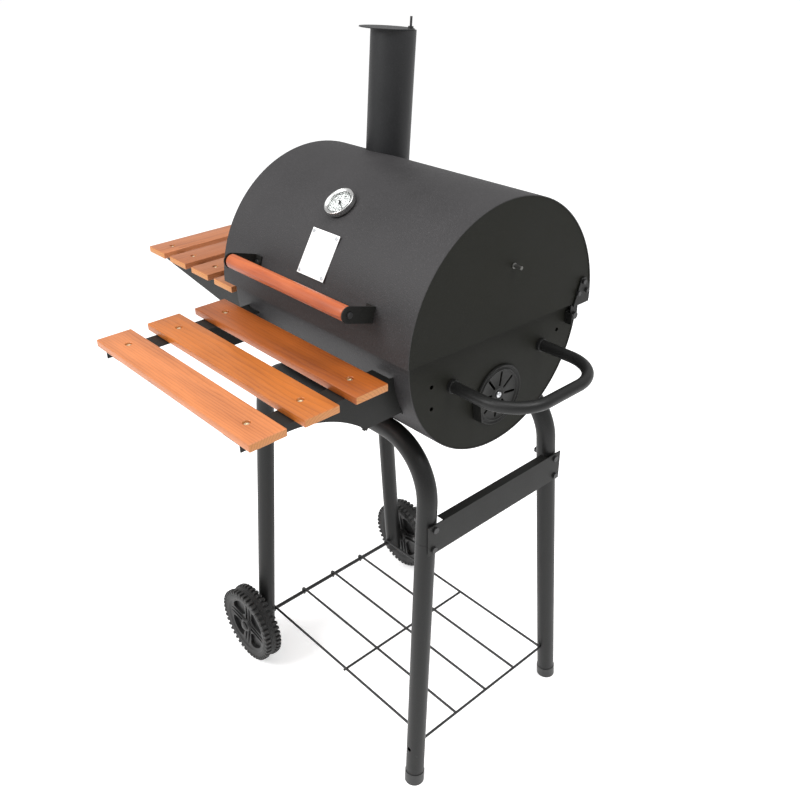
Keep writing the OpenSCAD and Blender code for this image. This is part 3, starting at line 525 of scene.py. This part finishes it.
# The stand and the brackets
for node in ("upper_frame_front", "upper_frame_rear", "lower_leg_front_right", "lower_leg_rear_right",
             "lower_leg_front_left", "lower_leg_rear_left"):
    eased(node, FRAME, 0.25)
for node in ("front_shelf_bracket_left", "front_shelf_bracket_right", "side_shelf_bracket_front",
             "side_shelf_bracket_rear", "end_brace"):
    eased(node, BRACKET, 0.4)
eased("leg_bolts", BLACK_BOLT, 0.6, crease=40.0)
eased("foot_caps", CAP, 1.6, 3)
for node in ("axle", "wire_shelf"):
    eased(node, WIRE, 0.3)
eased("charcoal_grate_supports", BRACKET, 0.3)
for node, material in (("cooking_grate_left", ENAMEL), ("cooking_grate_right", ENAMEL),
                       ("charcoal_grate", WIRE), ("warming_rack", RACK)):
    NODES[node].data.materials.clear()
    NODES[node].data.materials.append(material)


# ---------------------------------------------------------------- wooden slats and their bolts

# The boards in order: front inner, middle, outer, then the side boards from the barrel outwards.
# The stain took differently on each.
STAINS = ((0.28, 0.066, 0.005), (0.39, 0.110, 0.014), (0.48, 0.160, 0.050),
          (0.34, 0.122, 0.044), (0.37, 0.128, 0.046), (0.33, 0.108, 0.038), (0.38, 0.132, 0.050))
# Where the tree's heart lies from the board's middle line and from its underside, in millimetres
HEARTS = ((-38, -34), (31, -52), (46, -20), (-27, -46), (35, -28), (-44, -60), (24, -38))
LIGHTER = 1.24
DARKER = (0.60, 0.48, 0.40)
RAW_END = (0.55, 0.225, 0.07)
SLAT_BORE, SLAT_SINK, SINK_DEPTH = 2.8, 5.6, 4.0
PAST = 5.0  # a cutter runs this far past the faces it cuts


def slat(node, along, bolts, number):
    """A board with eased edges and a counterbore for each of its bolts; along is 0 for X or 1 for Y."""
    low, high = box_mm(node)
    centre = (low + high) / 2
    bm = bmesh.new()
    add_box(bm, low, high)
    sideways, up = HEARTS[number]
    heart = ((centre[1 - along] + sideways) * MM, (low.z + up) * MM)
    stain = STAINS[number]
    light = tuple(c * LIGHTER for c in stain)
    dark = tuple(c * k for c, k in zip(stain, DARKER))
    material = wood(f"{node}_wood", along, heart, 3.1 * number + 1.3, light, stain, dark, RAW_END)
    obj = piece(node + "_board", bm, material, BODY_OF[node], [node], bevel=1.5, segments=4)
    cutter = bmesh.new()
    for b_low, b_high in bolts:
        x, y = (b_low.x + b_high.x) / 2, (b_low.y + b_high.y) / 2
        if not (low.x < x < high.x and low.y < y < high.y):
            continue
        seat = high.z - SINK_DEPTH
        lip = SLAT_SINK + 0.6
        bottom, top = low.z - PAST, high.z + PAST
        profile = [(0.0, bottom), (SLAT_BORE, bottom), (SLAT_BORE, seat), (SLAT_SINK, seat)]
        profile += [(SLAT_SINK, high.z - 0.5), (lip, high.z + 0.1), (lip, top), (0.0, top)]
        add_lathe(cutter, profile, 40, Matrix.Translation((x, y, 0.0)))
    cut(obj, cutter, material)


def slat_bolts(node, name):
    """Domed bolts with a round recess and a washer, and a nut under the bracket's flange."""
    bm = bmesh.new()
    for low, high in islands(node):
        x, y = (low.x + high.x) / 2, (low.y + high.y) / 2
        place = Matrix.Translation((x, y, 0.0))
        head = high.z - 2.4
        profile = [(0.0, low.z), (2.1, low.z), (2.45, low.z + 0.5), (2.45, head)]
        profile += [(4.9, head), (5.0, head + 0.4)]
        profile += [(r, z) for r, z in dome(4.8, head + 0.8, 1.6) if r > 1.1]
        profile += [(1.0, head + 2.0), (0.7, head + 1.0), (0.0, head + 0.8)]
        add_lathe(bm, profile, 32, place)
        nut = low.z + 1.8
        add_nut(bm, 4.6, [(0.9, nut), (1.0, nut + 0.5), (1.0, nut + 3.4), (0.9, nut + 3.9)], (x, y))
    piece(name, bm, BRASS, BODY_OF[node], [node])


front_bolts, side_bolts = islands("front_slat_bolts"), islands("side_slat_bolts")
for number, node in enumerate(("front_slat_inner", "front_slat_middle", "front_slat_outer")):
    slat(node, 0, front_bolts, number)
for number, node in enumerate(("side_slat_1", "side_slat_2", "side_slat_3", "side_slat_4")):
    slat(node, 1, side_bolts, number + 3)
slat_bolts("front_slat_bolts", "front_slat_bolts_domed")
slat_bolts("side_slat_bolts", "side_slat_bolts_domed")


# ---------------------------------------------------------------- lid handle

def handle_dowel():
    """The turned handle: a round bar with eased ends."""
    low, high = box_mm("lid_handle_dowel")
    centre = (low + high) / 2
    radius = (high.z - low.z) / 2
    half = (high.x - low.x) / 2
    ease = 4.5
    end = [(radius - ease + ease * math.sin(a), half - ease + ease * math.cos(a)) for a in quarter_turn()]
    stations = [half - ease - (half - ease) * 2 * k / 24 for k in range(1, 24)]
    profile = [(0.0, half)] + end + [(radius, station) for station in stations]
    profile += [(r, -z) for r, z in reversed(end)] + [(0.0, -half)]
    bm = bmesh.new()
    add_lathe(bm, profile, 64, Matrix.Translation(centre) @ Matrix.Rotation(math.pi / 2, 4, "Y"))
    heart = ((centre.y + 19) * MM, (centre.z - 14) * MM)
    material = wood("dowel_wood", 0, heart, 9.7, light=(0.50, 0.125, 0.034), mid=(0.38, 0.080, 0.020),
                    dark=(0.20, 0.036, 0.010), end_grain=(0.46, 0.15, 0.05))
    piece("lid_handle_dowel_turned", bm, material, "lid", ["lid_handle_dowel"], crease=50)


handle_dowel()


# ---------------------------------------------------------------- thermometer

def thermometer_case(place):
    """Spun bezel, back, stem and nut in one piece."""
    bm = bmesh.new()
    bezel = [(25.3, 2.2), (25.5, 3.0), (25.5, 9.4)]
    bezel += [(24.5 + 1.0 * math.cos(a), 9.7 + 1.2 * math.sin(a)) for a in quarter_turn()]
    bezel += [(23.8, 10.8), (21.0, 9.4), (20.3, 9.0), (20.0, 8.4), (20.0, 4.0), (0.0, 4.0)]
    back = [(0.0, 0.2), (8.0, 0.2), (8.2, 2.0), (24.4, 2.0)]
    add_lathe(bm, back + bezel, 96)
    stem = [(0.0, -60.0), (3.0, -59.0), (3.0, -7.0), (4.0, -6.9), (4.0, 1.0), (0.0, 1.0)]
    add_lathe(bm, stem, 32)
    add_nut(bm, 8.6, [(0.92, -6.4), (1.0, -5.8), (1.0, -2.4), (0.92, -1.9)])
    piece("thermometer_case_spun", bm, STEEL, "lid", ["thermometer_case"], place)


def numeral(value, x, y, z):
    """The mesh of a small flat number, centred on a point."""
    text = bpy.data.curves.new("numeral", "FONT")
    text.body = str(value)
    text.size = 3.1
    text.align_x = "CENTER"
    text.align_y = "CENTER"
    text.extrude = 0.03
    holder = bpy.data.objects.new("numeral", text)
    scene.collection.objects.link(holder)
    graph = bpy.context.evaluated_depsgraph_get()
    flat = bpy.data.meshes.new_from_object(holder.evaluated_get(graph))
    flat.transform(Matrix.Translation((x, y, z)))
    bpy.data.objects.remove(holder)
    return flat


def thermometer_dial(place, start):
    """The white plate and its print: marks, two rings and plain numbers, the first at the angle start."""
    bm = bmesh.new()
    face, printed = 4.8, 4.86
    plate = [(1.1, 4.05), (19.7, 4.05), (19.8, 4.3), (19.7, 4.78), (19.4, face), (1.3, face), (1.1, 4.7)]
    add_lathe(bm, plate, 96, closed=True)
    piece("thermometer_dial_plate", bm, DIAL, "lid", ["thermometer_dial"], place)
    bm = bmesh.new()
    sweep = math.radians(-270)
    marks, numbers, number_step = 45, 9, 50
    for k in range(marks + 1):
        inner, half = (15.6, 0.28) if k % (marks // numbers) == 0 else (16.8, 0.14)
        turn = Matrix.Rotation(start + sweep * k / marks, 4, "Z")
        add_box(bm, (inner, -half, face), (18.6, half, printed), turn)
    for inner, outer in ((18.6, 18.85), (9.6, 9.8)):
        add_lathe(bm, [(inner, face), (outer, face), (outer, printed), (inner, printed)], 96, closed=True)
    for k in range(numbers + 1):
        angle = start + sweep * k / numbers
        flat = numeral(number_step * k, 13.1 * math.cos(angle), 13.1 * math.sin(angle), 4.84)
        bm.from_mesh(flat)
        bpy.data.meshes.remove(flat)
    piece("thermometer_dial_print", bm, INK, "lid", (), place, crease=20)


def thermometer_needle(place, start):
    """A tapered pointer with a tail and a domed hub."""
    bm = bmesh.new()
    tip, tail = [(14.6, 0.22), (15.0, 0.0), (14.6, -0.22)], [(-6.0, -1.3), (-6.6, 0.0), (-6.0, 1.3)]
    outline = tail + [(0.0, 0.9)] + tip + [(0.0, -0.9)]
    add_prism(bm, outline, 5.45, 5.95, Matrix.Rotation(start, 4, "Z"))
    add_lathe(bm, [(0.0, 4.4), (1.0, 4.4), (1.0, 5.2), (2.3, 5.25)] + dome(2.4, 5.6, 0.8), 32)
    piece("thermometer_needle_pointer", bm, INK, "needle", ["thermometer_needle"], place)


def thermometer_lens(place):
    """A thin domed glass."""
    bm = bmesh.new()
    radius, steps = 19.8, 12
    over = [(radius * k / steps, 8.9 + 1.1 * (1 - (k / steps) ** 2)) for k in range(steps + 1)]
    under = [(radius * k / steps, 8.0 + 1.0 * (1 - (k / steps) ** 2)) for k in range(steps, -1, -1)]
    add_lathe(bm, over + under, 64)
    piece("thermometer_lens_glass", bm, LENS, "lid", ["thermometer_lens"], place)


def thermometer():
    """All four pieces, built round the needle's axis with local Z pointing out of the lid."""
    joint = JOINTS["thermometer_needle_turn"]
    place = facing(joint["axis"], joint["pos_m"])
    start = math.radians(-31.5)
    thermometer_case(place)
    thermometer_dial(place, start)
    thermometer_needle(place, start)
    thermometer_lens(place)


thermometer()


# ---------------------------------------------------------------- air damper

def damper_slot(half):
    """The outline of one slot, along local X: straight sides and round ends."""
    turns = [math.pi * step / 8 - math.pi / 2 for step in range(9)]
    return [(x + side * half * math.cos(a), side * half * math.sin(a))
            for side, x in ((1, 40.0 - half), (-1, 14.0 + half)) for a in turns]


def air_damper():
    """A pressed disc with eight slots, its folded tab, and the screw it turns on."""
    low, high = box_mm("air_damper")
    depth = high.x - low.x
    at = Vector((low.x * MM, *JOINTS["air_damper_turn"]["pos_m"][1:]))
    # local Z points out of the barrel's end, local X along +Y and local Y up
    outward = Matrix.Rotation(math.pi / 2, 4, "Y") @ Matrix.Rotation(math.pi / 2, 4, "Z")
    place = Matrix.Translation(at) @ outward
    rim, hole, thickness = 52.0, 3.05, 4.0
    slots, slot_turn, tab_turn = 8, -9, 188  # the angles are in degrees
    front = [(hole, 1.5), (9.0, 1.5), (10.0, 2.1), (12.0, 2.1), (13.0, 1.5), (40.4, 1.5), (41.6, 1.8)]
    front += [(42.6, 3.2), (43.8, 3.7), (45.0, 3.2), (46.0, 1.9), (47.2, 1.6), (48.4, 2.0), (49.3, 3.4)]
    front += [(50.4, 3.9), (51.4, 3.4), (rim, 2.0), (rim, 0.3), (rim - 0.4, 0.0)]
    bm = bmesh.new()
    add_lathe(bm, front + [(hole, 0.0)], 128, closed=True)
    disc = piece("air_damper_pressed", bm, BRACKET, "damper", ["air_damper"], place, crease=40)
    cutter = bmesh.new()
    for k in range(slots):
        turn = Matrix.Rotation(math.radians(360 / slots * k + slot_turn), 4, "Z")
        add_prism(cutter, damper_slot(2.2), -PAST, thickness + PAST, turn)
    bmesh.ops.transform(cutter, matrix=Matrix.Scale(M, 4) @ place @ Matrix.Scale(MM, 4), verts=cutter.verts)
    cut(disc, cutter, BRACKET)
    # folded tab: a neck past the rim and the tab standing off it
    bm = bmesh.new()
    turn = Matrix.Rotation(math.radians(tab_turn), 4, "Z")
    add_box(bm, (rim - 6.0, -11.0, 0.0), (rim + 6.0, 11.0, 1.5), turn)
    add_box(bm, (rim + 4.0, -17.0, 0.0), (rim + 6.0, 17.0, depth), turn)
    piece("air_damper_tab", bm, BRACKET, "damper", (), place, bevel=0.7, segments=3)
    # screw: pan head with a round recess, washer and nut
    tip = box_mm("air_damper_screw")[0].x - low.x
    head = 1.9
    profile = [(0.0, tip), (2.9, tip), (2.9, head - 0.1), (5.4, head - 0.1), (5.5, head + 0.5)]
    profile += [(r, z) for r, z in dome(5.3, head + 1.0, 2.2) if r > 1.3]
    profile += [(1.2, head + 2.2), (0.8, head + 1.3), (0.0, head + 1.1)]
    bm = bmesh.new()
    add_lathe(bm, profile, 40)
    add_nut(bm, 6.0, [(0.92, tip + 2.0), (1.0, tip + 2.6), (1.0, tip + 6.4), (0.92, tip + 7.0)])
    piece("air_damper_screw_pan", bm, ZINC, "stand", ["air_damper_screw"], place)


air_damper()


# ---------------------------------------------------------------- wheels

WHEEL_LUGS = 44
POCKETS = 4
POCKET_TURN = 0.62  # radians from the wheel's local X to the middle of the first pocket


def tyre(radius, width):
    """Square lugs on both shoulders and down the sidewalls, and fine ridges round the middle band."""
    middle = width / 2
    # one half's section: (depth below the tread, height, groove depth, how far the sidewall's lugs stand out)
    half = [
        (16.5, middle, 0, 0), (16.5, 3.4, 0, 0), (15.6, 2.2, 0, 0), (14.4, 1.7, 0, 0),
        (11.8, 1.5, 0, 0), (11.4, 2.0, 0, 0), (10.9, 2.0, 0, 0), (10.5, 1.5, 0, 0),
        (8.4, 1.6, 0, 0), (8.0, 1.5, 0, 1.6), (4.0, 1.6, 1.4, 2.6), (1.2, 1.8, 4.0, 2.2),
        (0.3, 2.6, 4.6, 1.0), (0.0, 4.4, 4.6, 0), (0.0, 10.4, 4.4, 0), (0.5, 11.2, 3.8, 0),
        (3.4, 12.4, 0.9, 0), (3.8, 13.4, 0, 0), (3.8, 14.2, 0, 0), (2.8, 14.6, 0, 0),
        (2.8, 15.2, 0, 0), (3.8, 15.6, 0, 0), (3.8, middle - 0.8, 0, 0), (2.8, middle - 0.4, 0, 0),
    ]
    section = half + [(depth, width - h, g, s) for depth, h, g, s in reversed(half[1:])]
    # a lug's corners: (share of the pitch, 1 on the lug and 0 in the groove)
    corners = ((0.00, 0.0), (0.09, 1.0), (0.53, 1.0), (0.62, 0.0))
    bm = bmesh.new()
    rings = []
    for depth, height, groove, stand_out in section:
        far = height > middle
        ring = []
        for lug in range(WHEEL_LUGS):
            for share, level in corners:
                angle = 2 * math.pi * (lug + share + (0.5 if far else 0.0)) / WHEEL_LUGS
                r = radius - depth - groove * (1.0 - level)
                z = height + (stand_out if far else -stand_out) * (level - 0.4)
                ring.append(bm.verts.new((r * math.cos(angle), r * math.sin(angle), z)))
        rings.append(ring)
    # the far shoulder's lugs are half a pitch on, so the skin steps by two corners between the halves
    count = len(rings[0])
    for a, b in zip(rings, rings[1:] + rings[:1]):
        shift = 2 if a is rings[len(half) - 1] else (-2 if a is rings[-1] else 0)
        for k in range(count):
            n = (k + 1) % count
            bm.faces.new((a[(k + shift) % count], a[(n + shift) % count], b[n], b[k]))
    return bm


def pocket_outline():
    """The four-sided hollow between two spokes, seen along the axle: an outer arc and an inner one."""
    outline = []
    for reach, (first, last), pinch in ((57.0, (-29.0, 29.0), 0.10), (23.5, (21.0, -21.0), -0.16)):
        for step in range(13):
            share = step / 12
            angle = math.radians(first + (last - first) * share)
            r = reach * (1.0 - pinch * abs(2 * share - 1.0) ** 4)
            outline.append((r * math.cos(angle), r * math.sin(angle)))
    return outline


def wheel(node, side):
    """A tyre, a hub disc with pockets on both faces, and ribs; side is 1 where the outer face looks to +Y."""
    low, high = box_mm(node)
    radius = (high.x - low.x) / 2
    width = high.y - low.y
    x, z = (low.x + high.x) / 2, (low.z + high.z) / 2
    inner = low.y if side > 0 else high.y
    place = Matrix.Translation((x * MM, inner * MM, z * MM)) @ Matrix.Rotation(-side * math.pi / 2, 4, "X")
    body = BODY_OF[node]
    piece(node + "_tyre", tyre(radius, width), TYRE, body, [node], place, crease=28)
    # hub: a shallow cone on both faces and a boss
    cone = [(4.1, 0.6), (12.5, 0.6), (13.6, 1.0), (14.4, 2.0), (15.6, 7.6), (17.6, 8.8), (30.0, 8.4)]
    cone += [(50.0, 7.0), (58.0, 5.8), (62.0, 4.8), (63.6, 3.2), (64.8, 2.4), (radius - 16.2, 2.3)]
    bm = bmesh.new()
    add_lathe(bm, cone + [(r, width - h) for r, h in reversed(cone)], 96, closed=True)
    disc = piece(node + "_disc", bm, HUB, body, (), place, crease=40)
    floor_depth, past = 14.0, 3.0
    cutter = bmesh.new()
    for k in range(POCKETS):
        turn = Matrix.Rotation(2 * math.pi / POCKETS * k + POCKET_TURN, 4, "Z")
        add_prism(cutter, pocket_outline(), -past, floor_depth, turn)
        add_prism(cutter, pocket_outline(), width - floor_depth, width + past, turn)
    bmesh.ops.transform(cutter, matrix=Matrix.Scale(M, 4) @ place @ Matrix.Scale(MM, 4), verts=cutter.verts)
    cut(disc, cutter, HUB)
    # a pair of ribs along every spoke
    bm = bmesh.new()
    rib_base, rib_top = 5.2, 10.0
    for k in range(POCKETS):
        turn = Matrix.Rotation(2 * math.pi / POCKETS * (k + 0.5) + POCKET_TURN, 4, "Z")
        for offset in (-5.2, 5.2):
            for z0, z1 in ((rib_base, rib_top), (width - rib_top, width - rib_base)):
                add_box(bm, (14.0, offset - 1.0, z0), (60.5, offset + 1.0, z1), turn)
    piece(node + "_ribs", bm, HUB, body, (), place, bevel=0.5)


def wheel_caps():
    """Domed press-on caps over the axle's ends."""
    bm = bmesh.new()
    axle_y = (box_mm("axle")[0].y + box_mm("axle")[1].y) / 2
    for low, high in islands("wheel_caps"):
        side = 1 if low.y > axle_y else -1
        x, z = (low.x + high.x) / 2, (low.z + high.z) / 2
        base = low.y if side > 0 else high.y
        place = Matrix.Translation((x, base, z)) @ Matrix.Rotation(-side * math.pi / 2, 4, "X")
        profile = [(0.0, 2.8), (4.05, 2.8), (4.05, 0.0), (9.6, 0.0), (10.0, 0.4), (10.0, 1.3)]
        profile += [(9.4, 1.8), (8.4, 2.0)]
        add_lathe(bm, profile + dome(8.0, 2.1, 2.0), 48, place)
    piece("wheel_caps_pressed", bm, CAP, "stand", ["wheel_caps"])


wheel("wheel_front", -1)
wheel("wheel_rear", 1)
wheel_caps()


# ---------------------------------------------------------------- floor, light and camera

FLOOR_REACH = 30.0  # metres from the middle to each side
FLOOR_GAP = 0.0005  # metres between the floor and the lowest point of the part

floor_mesh = bpy.data.meshes.new("floor")
floor_bm = bmesh.new()
bmesh.ops.create_grid(floor_bm, x_segments=2, y_segments=2, size=FLOOR_REACH)
floor_bm.to_mesh(floor_mesh)
floor_bm.free()
floor = bpy.data.objects.new("floor", floor_mesh)
scene.collection.objects.link(floor)
floor.location.z = -FLOOR_GAP
g = Graph("floor_paper")
white = g.mix(g.noise(3.0), (0.90, 0.90, 0.90), (0.93, 0.93, 0.93))
paper = g.finish(white, g.remap(g.noise(40.0), 0.3, 0.7, 0.85, 0.95))
g.shader.inputs["Emission Color"].default_value = (1.0, 1.0, 1.0, 1.0)
g.shader.inputs["Emission Strength"].default_value = 0.46
floor_mesh.materials.append(paper)

# Even white light from all round, and three soft lights
world = bpy.data.worlds.new("studio")
scene.world = world
world.use_nodes = True
world.node_tree.nodes["Background"].inputs[0].default_value = (1.0, 1.0, 1.0, 1.0)
world.node_tree.nodes["Background"].inputs[1].default_value = 0.60


def softbox(name, at, target, size, watts):
    """A white square light of a size in metres, aimed at a point."""
    lamp = bpy.data.lights.new(name, "AREA")
    lamp.size = size
    lamp.energy = watts
    obj = bpy.data.objects.new(name, lamp)
    scene.collection.objects.link(obj)
    obj.location = at
    obj.rotation_euler = (Vector(target) - Vector(at)).to_track_quat("-Z", "Y").to_euler()


softbox("key", (-0.9, -2.6, 3.0), (0.0, 0.0, 0.8), 1.4, 88)
softbox("top", (0.2, -0.2, 3.6), (0.0, 0.0, 0.8), 2.2, 42)
softbox("side", (1.5, 0.5, 2.9), (0.3, 0.0, 0.8), 0.8, 26)

# The camera stands in front and to the right, above the lid, and leans by less than a degree
camera = bpy.data.cameras.new("camera")
camera.lens = 39.6
camera.sensor_width = 36.0
camera_object = bpy.data.objects.new("camera", camera)
scene.collection.objects.link(camera_object)
azimuth, elevation, roll = math.radians(47.79), math.radians(29.67), math.radians(-0.66)
level = math.cos(elevation)
back = Vector((math.sin(azimuth) * level, -math.cos(azimuth) * level, math.sin(elevation)))
level_right = (-back).cross(Vector((0, 0, 1))).normalized()
level_up = level_right.cross(-back)
right = level_right * math.cos(roll) + level_up * math.sin(roll)
up = level_up * math.cos(roll) - level_right * math.sin(roll)
camera_matrix = Matrix((right, up, back)).transposed().to_4x4()
camera_matrix.translation = Vector((1.1318, -0.83625, 1.4423))
camera_object.matrix_world = camera_matrix
camera.clip_start, camera.clip_end = 0.05, 100.0
scene.camera = camera_object
scene.view_settings.view_transform = "Standard"
